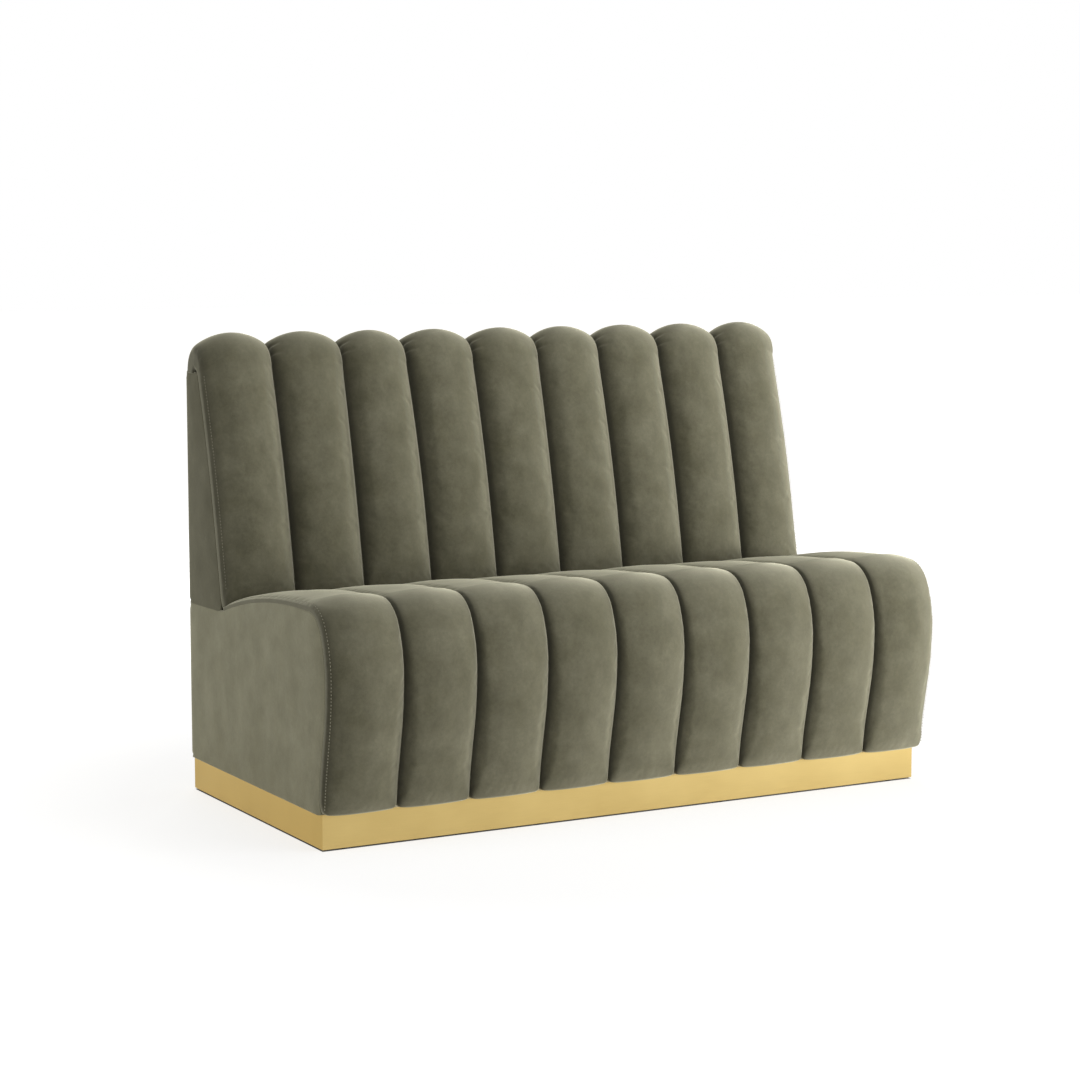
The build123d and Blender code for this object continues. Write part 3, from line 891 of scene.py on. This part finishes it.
# %% Seat and back rolls
rolls = []
seat_spacing, back_spacing = 0.0055, 0.0045
roll_middles = [(i - (roll_count - 1) / 2) * pitch for i in range(roll_count)]
for number, middle in enumerate(roll_middles, 1):
    bm = roll(middle, seat_run, 0.0, seat_crown_at, seat_contacts(number), seat_shape(number), seat_spacing)
    rolls.append(add_piece(f"seat_roll_{number}", bm, velvet, [f"seat_channel_{number}"],
                           sewn=True))
    bm = roll(middle, back_run, back_start, back_crown_at, back_contacts(number), back_shape(number),
              back_spacing)
    rolls.append(add_piece(f"back_roll_{number}", bm, velvet, [f"back_channel_{number}"],
                           sewn=True))
print("rolls:", len(rolls), "at", round(time.time() - clock, 1), "s")

# %% [markdown]
# ## Letting the cover settle
#
# The rolls so far are as smooth as their templates. A short cloth simulation gives the cover the soft
# unevenness of stuffed fabric: the rows along the seams are sewn down, the cloth is cut a little larger
# than its way round, and the filling presses on it from inside. A point may move 2 mm at most, and
# never past the seams. A smoothing level then goes over the settled mesh.

# %% Cloth simulation
def settle(pieces, frames=20, most=0.002):
    for piece in pieces:
        cloth = piece.modifiers.new("Settling", "CLOTH")
        cloth.settings.quality = 4
        cloth.settings.use_pressure = True
        cloth.settings.uniform_pressure_force = 4.0
        cloth.settings.effector_weights.gravity = 0
        cloth.settings.shrink_min = -0.004
        cloth.settings.vertex_group_mass = "sewn"
        cloth.collision_settings.use_collision = False
        cloth.point_cache.frame_start, cloth.point_cache.frame_end = 1, frames
    for number in range(1, frames + 1):
        scene.frame_set(number)
    settled = bpy.context.evaluated_depsgraph_get()
    moves = []
    for piece in pieces:
        points = [vert.co.copy() for vert in piece.evaluated_get(settled).data.vertices]
        across = [vert.co.x for vert in piece.data.vertices]
        left, right = min(across), max(across)
        for vert, point in zip(piece.data.vertices, points):
            move = point - vert.co
            moves.append(move.length)
            if move.length > most:
                move *= most / move.length
            point = vert.co + move
            vert.co = (max(left, min(right, point.x)), point.y, point.z)
    for piece in pieces:
        piece.modifiers.remove(piece.modifiers["Settling"])
    scene.frame_set(1)
    moves.sort()
    print("settled", len(pieces), "pieces; half moved under", round(moves[len(moves) // 2] * 1000, 2),
          "mm, the most", round(moves[-1] * 1000, 2), "mm, at", round(time.time() - clock, 1), "s")


settle(rolls)
for piece in rolls:
    surface = piece.modifiers.new("Subdivision", "SUBSURF")
    surface.levels = surface.render_levels = 1

# %% [markdown]
# ## The padded ends
#
# Each end of the seat and of the back is closed by a flat pad under its own panel of velvet, cut to the
# seam's curve. It is crowned by a few millimetres, rounds over at its edges, and its rear upright edge
# is a larger round. The panel starts as a ring of points on the pad's outline, which is the seam, set
# in by some width, and straight lines to the rear corners. Narrow rings inside it give the rounding its
# points, a grid of cuts gives the middle, and every point then sinks or rises by its distance from the
# border.

# %% Outline of a pad
seam_step, line_step = 0.007, 0.012
corner_least, corner_depth, inwards = 0.004, 0.41, Vector((0.7, 0.7))


def pad_outline(seam_with, rear_corners, end_cut, corner_round, width):
    run, rim = seam_with(width), seam_with(0)
    end = seam_length(run) - end_cut * width
    count = round(seam_length(rim) / seam_step)
    points = [seam_at(run, width + (end - width) * i / count)[0] for i in range(count)]
    corners = [seam_at(run, end)[0]] + [Vector(corner) for corner in rear_corners(width)] + [points[0]]
    whole = [seam_at(rim, seam_length(rim))[0]]
    whole += [Vector(corner) for corner in rear_corners(0)] + [seam_at(rim, 0)[0]]
    for (a, b), (start, finish) in zip(zip(whole, whole[1:]), zip(corners, corners[1:])):
        steps = max(1, round((b - a).length / line_step))
        points += [start.lerp(finish, i / steps) for i in range(steps)]
    return soften_corner(points, corners[-1].copy(), max(corner_least, corner_round - width))


def soften_corner(points, corner, radius):
    for point in points:
        reach = (point - corner).length
        if reach < radius:
            point += inwards * corner_depth * (radius - reach) ** 2 / radius
    return points


def nearest_on_outline(point, outline):
    best = 1.0
    for a, b in zip(outline, outline[1:] + outline[:1]):
        along = b - a
        share = clamp((point - a).dot(along) / along.length_squared)
        best = min(best, (point - a - along * share).length)
    return best


# %% [markdown]
# The face of a pad rounds over at its border, more at the rear edge and at the toe. The middle is
# crowned and a little uneven, and near the toe the velvet is gathered into faint folds where it is
# pulled round the corner.

# %% Face of a pad
pad_outer = half_width - seam_gap / 2
border_round, rear_round = 0.0016, 0.018
toe, toe_round, toe_depth = Vector((toe_y, plinth_top)), 0.030, 0.30
pad_crown, crown_width, mottle_height = 0.0035, 0.07, 0.0009
gather_waves, gather_depth, gather_up, gather_back = 300, 0.0022, 0.075, 0.11


def pad_face(point, outline, side):
    border = nearest_on_outline(point, outline)
    sink = max(round_off(border, border_round), round_off(rear_y - point.x, rear_round),
               toe_depth * round_off((point - toe).length, toe_round))
    soft = min(1.0, border / crown_width)
    puff = pad_crown * soft * (2 - soft)
    mottle = noise.noise(Vector((point.x * 16, point.y * 7, side * 3))) * mottle_height * soft
    near = max(0.0, 1 - (point.y - toe.y) / gather_up) * max(0.0, 1 - (point.x - toe.x) / gather_back) * soft
    gathers = gather_depth * near * math.sin((point.x * 0.8 + point.y * 0.35) * gather_waves)
    return pad_outer - sink + puff + mottle + gathers


# %% Pad builder
ring_widths = (0, 0.0002, 0.0006, 0.0016, 0.004, 0.008, 0.013, 0.019)
grid_step = 0.009


def cut_into_grid(bm, ring):
    cuts = [bm.faces.new(ring)]
    for axis in (1, 2):
        low, high = min(vert.co[axis] for vert in ring), max(vert.co[axis] for vert in ring)
        count = round((high - low) / grid_step)
        for i in range(1, count):
            at, normal = [0, 0, 0], [0, 0, 0]
            at[axis], normal[axis] = low + (high - low) * i / count, 1
            cuts = [face for face in cuts if face.is_valid]
            geom = set(cuts) | {e for f in cuts for e in f.edges} | {v for f in cuts for v in f.verts}
            made = bmesh.ops.bisect_plane(bm, geom=list(geom), plane_co=at, plane_no=normal)["geom"]
            cuts = [item for item in made if isinstance(item, bmesh.types.BMFace)]


def side_pad(form, side):
    outline = pad_outline(*form, 0)
    bm = bmesh.new()
    bmesh.ops.create_circle(bm, segments=len(outline), radius=1)
    ring, edges = list(bm.verts), list(bm.edges)
    rim = list(edges)
    for width in ring_widths:
        if width:
            ring, edges = next_ring(bm, ring, edges)
        for vert, point in zip(ring, pad_outline(*form, width)):
            vert.co = (0, point.x, point.y)
    cut_into_grid(bm, ring)
    for vert in bm.verts:
        vert.co.x = pad_face(Vector((vert.co.y, vert.co.z)), outline, side)
    for item in bmesh.ops.extrude_edge_only(bm, edges=rim)["geom"]:
        if isinstance(item, bmesh.types.BMVert):
            item.co.x = pad_outer - pad_thickness
    back = [edge for edge in bm.edges if edge.is_boundary]
    bmesh.ops.holes_fill(bm, edges=back, sides=len(back))
    if side < 0:
        bmesh.ops.scale(bm, verts=bm.verts, vec=(-1, 1, 1))
    return bm


# %% [markdown]
# The seat's pad follows the seat's seam a few millimetres inside it, and the back's wedge follows the
# rake. Both end at the rear, and the wedge's top corner is cut along the top edge's level.

# %% Seat and back pads
pad_inset = flank - 0.0030
seat_corner, back_corner = 0.006, 0.026
top_cut = (1 - sine(top_lean)) / cosine(top_lean)


def seat_pad_seam(width):
    return seat_seam(pad_inset + width)


def seat_pad_corners(width):
    return (rear_y - width, deck_height - width), (rear_y - width, plinth_top + width)


def back_pad_seam(width):
    return back_seam(pad_inset + width, over=0)


def back_pad_corners(width):
    top = seam_at(back_pad_seam(0), seam_length(back_pad_seam(0)))[0].y
    return (rear_y - width, top - width), (rear_y - width, deck_height + width)


seat_form = (seat_pad_seam, seat_pad_corners, 0, seat_corner)
back_form = (back_pad_seam, back_pad_corners, top_cut, back_corner)
# The seat's end pads take the paler velvet, painted light, and the back's wedges the darker one, painted shade.
for side, word in ((-1, "left"), (1, "right")):
    bm = side_pad(seat_form, side)
    add_piece(f"seat_end_pad_{word}", bm, lit_end_velvet, [f"seat_side_pad_{word}"])
    bm = side_pad(back_form, side)
    add_piece(f"back_end_pad_{word}", bm, shaded_wedge_velvet, [f"back_side_pad_{word}"])
print("pads made at", round(time.time() - clock, 1), "s")

# %% [markdown]
# ## Topstitching
#
# Where the end rolls meet the end pads a row of topstitches holds the seam flat. Each stitch is a short
# raised thread between two needle holes, about 3 mm long. A low ellipsoid stands for it, set on the
# roll's surface beside the seam and turned to run with it.

# %% Topstitches
stitch_step, stitch_inset, stitch_proud = 0.0063, 0.0042, 0.0003


def stitch_place(rise, share):
    section = half_section(rise, share)
    for (x, up), (next_x, next_up) in zip(section, section[1:]):
        if next_x <= half - stitch_inset:
            part = (x - half + stitch_inset) / max(1e-9, x - next_x)
            return half - stitch_inset, up + (next_up - up) * part
    return section[-1]


def topstitches(side, run, start, end, rise_at, share, size):
    bm = bmesh.new()
    count = int((end - start) / stitch_step)
    for i in range(count):
        distance = start + (end - start) * (i + 0.5) / count
        x, up = stitch_place(rise_at(distance), share)
        place, heading = seam_at(run, distance)
        at = place + Vector((-math.sin(heading), math.cos(heading))) * (up + stitch_proud)
        made = bmesh.ops.create_uvsphere(bm, u_segments=6, v_segments=5, radius=0.5)["verts"]
        bmesh.ops.scale(bm, verts=made, vec=size)
        bmesh.ops.rotate(bm, verts=made, matrix=Matrix.Rotation(heading, 3, "X"))
        bmesh.ops.translate(bm, verts=made, vec=(side * (half_width - pitch / 2 + x), at.x, at.y))
    return bm


for side, word in ((-1, "left"), (1, "right")):
    bm = topstitches(side, seat_run, 0.012, seat_length - 0.06, seat_crown_at, seat_free,
                     size=(0.0015, 0.0038, 0.0014))
    add_piece(f"seat_topstitch_{word}", bm, thread)
    bm = topstitches(side, back_run, back_start + 0.02, rake_length - 0.01, back_crown_at, back_free,
                     size=(0.0009, 0.0034, 0.0012))
    add_piece(f"back_topstitch_{word}", bm, thread)
print("topstitch rows: 4")

# %% [markdown]
# ## Rear covers
#
# The rear is closed by two covers, velvet over thin board, one on the seat unit and one on the back
# unit. They stay flat, because the bench stands against a wall, and only their edges are rounded where
# the cloth is pulled over.

# %% Rear covers
def board_cover(low, high, radius=0.0025):
    bm = bmesh.new()
    bmesh.ops.create_cube(bm, size=1)
    size = [b - a for a, b in zip(low, high)]
    bmesh.ops.scale(bm, verts=bm.verts, vec=size)
    bmesh.ops.translate(bm, verts=bm.verts, vec=[(a + b) / 2 for a, b in zip(low, high)])
    bmesh.ops.bevel(bm, geom=list(bm.edges), offset=radius, offset_type="OFFSET", segments=3, profile=0.5,
                    affect="EDGES", material=-1)
    return bm


for unit in ("seat", "back"):
    low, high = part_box(f"{unit}_rear_panel")
    add_piece(f"{unit}_rear_cover", board_cover(low, high), velvet, [f"{unit}_rear_panel"])
print("rear covers: 2")

# %% [markdown]
# ## Foam under the seat's cover
#
# Two sheets of foam lie over the bent skins, one down the front and one over the deck. They follow the
# seat's seam at a constant depth. The outline of each goes out along the outer seam and home along the
# inner one, and is extruded along the bench.

# %% Foam layers
foam_inset = flank + 0.0004
foam_slices = 40


def foam_edge(inset, steps_from, steps_to):
    run = seat_seam(inset)
    start, end = seam_length(run[:steps_from]), seam_length(run[:steps_to])
    return [seam_at(run, start + (end - start) * i / foam_slices)[0] for i in range(foam_slices + 1)]


def foam_layer(steps_from, steps_to, low, high):
    path = foam_edge(foam_inset, steps_from, steps_to)
    path += reversed(foam_edge(foam_inset + foam_thickness, steps_from, steps_to))
    bm = bmesh.new()
    face = bm.faces.new([bm.verts.new((low, point.x, point.y)) for point in path])
    geom = bmesh.ops.extrude_face_region(bm, geom=[face])["geom"]
    moved = [item for item in geom if isinstance(item, bmesh.types.BMVert)]
    bmesh.ops.translate(bm, verts=moved, vec=(high - low, 0, 0))
    return bm


for node, span in (("seat_front_foam", (0, 5)), ("seat_deck_foam", (5, 7))):
    low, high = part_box(node)
    bm = foam_layer(*span, low.x, high.x)
    add_piece(node.replace("foam", "foam_sheet"), bm, foam, [node])
print("foam sheets: 2")

# %% [markdown]
# ## The metal plinth
#
# Four plates of thin sheet wrap the plinth, mitred at the corners. Each starts as a box along X. Two
# planes at 45 degrees cut its ends, a very small bevel gives the edges the bright line that folded and
# dressed metal has, and the plate is then turned and moved to its side.

# %% Cladding plates
def cladding_plate(length, turn, place):
    height = plinth_top - plinth_bottom
    bm = bmesh.new()
    bmesh.ops.create_cube(bm, size=1)
    bmesh.ops.scale(bm, verts=bm.verts, vec=(length, cladding_thickness, height))
    bmesh.ops.translate(bm, verts=bm.verts, vec=(0, cladding_thickness / 2, height / 2))
    for end in (-1, 1):
        bmesh.ops.bisect_plane(bm, geom=list(bm.verts) + list(bm.edges) + list(bm.faces),
                               plane_co=(end * length / 2, 0, 0), plane_no=(end, 1, 0), clear_outer=True)
        bmesh.ops.holes_fill(bm, edges=[edge for edge in bm.edges if edge.is_boundary], sides=4)
    bmesh.ops.bevel(bm, geom=list(bm.edges), offset=0.00025, offset_type="OFFSET", segments=2, profile=0.5,
                    affect="EDGES", material=-1)
    bmesh.ops.rotate(bm, verts=bm.verts, matrix=Matrix.Rotation(math.radians(turn), 3, "Z"))
    bmesh.ops.translate(bm, verts=bm.verts, vec=place)
    return bm


depth_middle = (plinth_front + rear_y) / 2
plates = {"front": (2 * plinth_x, 0, (0, plinth_front, plinth_bottom)),
          "right": (rear_y - plinth_front, 90, (plinth_x, depth_middle, plinth_bottom)),
          "rear": (2 * plinth_x, 180, (0, rear_y, plinth_bottom)),
          "left": (rear_y - plinth_front, -90, (-plinth_x, depth_middle, plinth_bottom))}
for side, (length, turn, place) in plates.items():
    # The end plates take the darker brass, which is painted shade.
    sheet = shaded_end_brass if side in ("left", "right") else brass
    add_piece(f"brass_plate_{side}", cladding_plate(length, turn, place), sheet,
              [f"cladding_{side}"], smooth=False)
print("plates:", list(plates))
